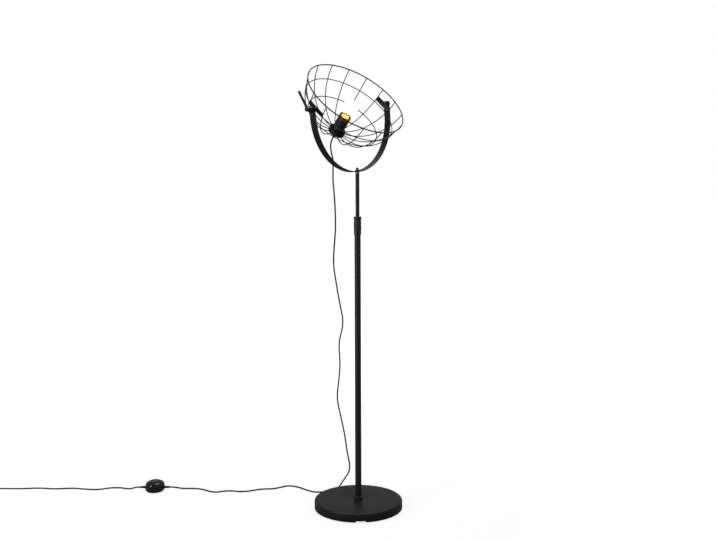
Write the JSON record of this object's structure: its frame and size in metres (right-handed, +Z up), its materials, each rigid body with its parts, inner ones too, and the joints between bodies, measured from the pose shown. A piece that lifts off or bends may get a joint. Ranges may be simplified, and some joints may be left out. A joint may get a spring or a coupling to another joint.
{
  "type": "wire cage floor lamp",
  "caption": "Floor lamp with a round weighted base, a telescopic pole, a strip yoke and a tilting welded wire bowl round one bare globe bulb, with foot switch and plug.",
  "frame": {"origin": "centre of the base's underside, on the floor", "axes": "+Z up along the pole, -Y to the front as pictured, +X to the viewer's right"},
  "size_m": [1.5277, 0.3881, 1.4249],
  "materials": {
    "zinc_steel": "zinc plated",
    "base_paint": "satin powder coat",
    "pole_paint": "satin powder coat",
    "yoke_paint": "satin powder coat",
    "wire_paint": "satin powder coat on welded wire",
    "felt": "pressed felt",
    "concrete": "cast concrete",
    "bulb_cap_metal": "rolled thread",
    "bulb_glass": "opal, lit",
    "bulb_contact": "soldered contact",
    "cord_cover": "round black flex",
    "black_plastic": "moulded",
    "holder_ceramic": "unglazed",
    "holder_plastic": "moulded phenolic",
    "brass_thread": "rolled sheet",
    "brass_insert": "turned",
    "lever_plastic": "moulded nylon",
    "collar_plastic": "moulded",
    "nylon": "moulded nylon",
    "black_nickel": "black nickel plate",
    "plug_plastic": "moulded rubbery plastic",
    "pin_nickel": "nickel plate",
    "switch_plastic": "polished moulding",
    "button_plastic": "polished moulding"
  },
  "bodies": {
    "stand": {"base_bolt": "zinc_steel", "base_cover": "base_paint", "base_pad": "felt", "base_washer": "zinc_steel", "base_weight": "concrete", "lower_pole": "pole_paint", "foot_plug": "zinc_steel", "foot_collar": "pole_paint", "lock_collet": "nylon", "cord_floor": "cord_cover", "cord_lead": "cord_cover", "cord_coil": "cord_cover", "plug_body": "plug_plastic", "plug_pins": "pin_nickel", "switch_base": "switch_plastic", "switch_cover": "switch_plastic", "switch_block": "nylon", "switch_reliefs": "black_plastic"},
    "lock_collar": {"lock_collar": "collar_plastic"},
    "upper_pole": {"upper_pole": "pole_paint", "slide_bush": "nylon", "pole_tip": "zinc_steel", "yoke_cap_nut": "black_nickel", "cord_hang": "cord_cover"},
    "yoke": {"yoke": "yoke_paint", "seat_washer_lower": "black_plastic", "seat_washer_upper": "black_plastic", "cord_neck": "cord_cover"},
    "cage": {"bulb_cap": "bulb_cap_metal", "bulb_glass": "bulb_glass", "bulb_tip": "bulb_contact", "cage_lower_ring": "wire_paint", "cage_ribs": "wire_paint", "cage_rim": "wire_paint", "cage_upper_ring": "wire_paint", "holder_core": "holder_ceramic", "holder_cup": "wire_paint", "holder_nipple": "zinc_steel", "holder_nut": "zinc_steel", "holder_shell": "holder_plastic", "holder_thread": "brass_thread", "pivot_nut": "black_nickel", "pivot_plate_left": "yoke_paint", "pivot_plate_right": "yoke_paint", "pivot_stud_left": "zinc_steel", "pivot_stud_right": "zinc_steel", "pivot_washers_left": "black_plastic", "pivot_washers_right": "black_plastic", "cord_grip": "black_plastic", "cord_top": "cord_cover"},
    "lever": {"lever_handle": "lever_plastic", "lever_insert": "brass_insert", "lever_screw": "zinc_steel"},
    "switch_button": {"switch_button": "button_plastic"}
  },
  "joints": [
    {"name": "pole_slide", "type": "slide", "parent": "stand", "child": "upper_pole", "axis": [0, 0, 1], "range_m": [-0.13, 0.26]},
    {"name": "collar_twist", "type": "hinge", "parent": "stand", "child": "lock_collar", "pos_m": [0, 0, 0.9], "axis": [0, 0, 1], "range_deg": [0, 90]},
    {"name": "yoke_swivel", "type": "hinge", "parent": "upper_pole", "child": "yoke", "pos_m": [0, 0, 1.0735], "axis": [0, 0, 1], "range_deg": [-90, 90]},
    {"name": "cage_tilt", "type": "hinge", "parent": "yoke", "child": "cage", "pos_m": [-0.01913, -0.02163, 1.27898], "axis": [0.6562, 0.7417, 0.1392], "range_deg": [-44, 75]},
    {"name": "lever_turn", "type": "hinge", "parent": "cage", "child": "lever", "pos_m": [-0.01913, -0.02163, 1.27898], "axis": [0.6562, 0.7417, 0.1392], "range_deg": [-60, 60]},
    {"name": "switch_press", "type": "slide", "parent": "stand", "child": "switch_button", "axis": [0, 0, -1], "range_m": [0, 0.002], "stiffness_N_per_m": 1500, "springref_m": -0.0008}
  ]
}
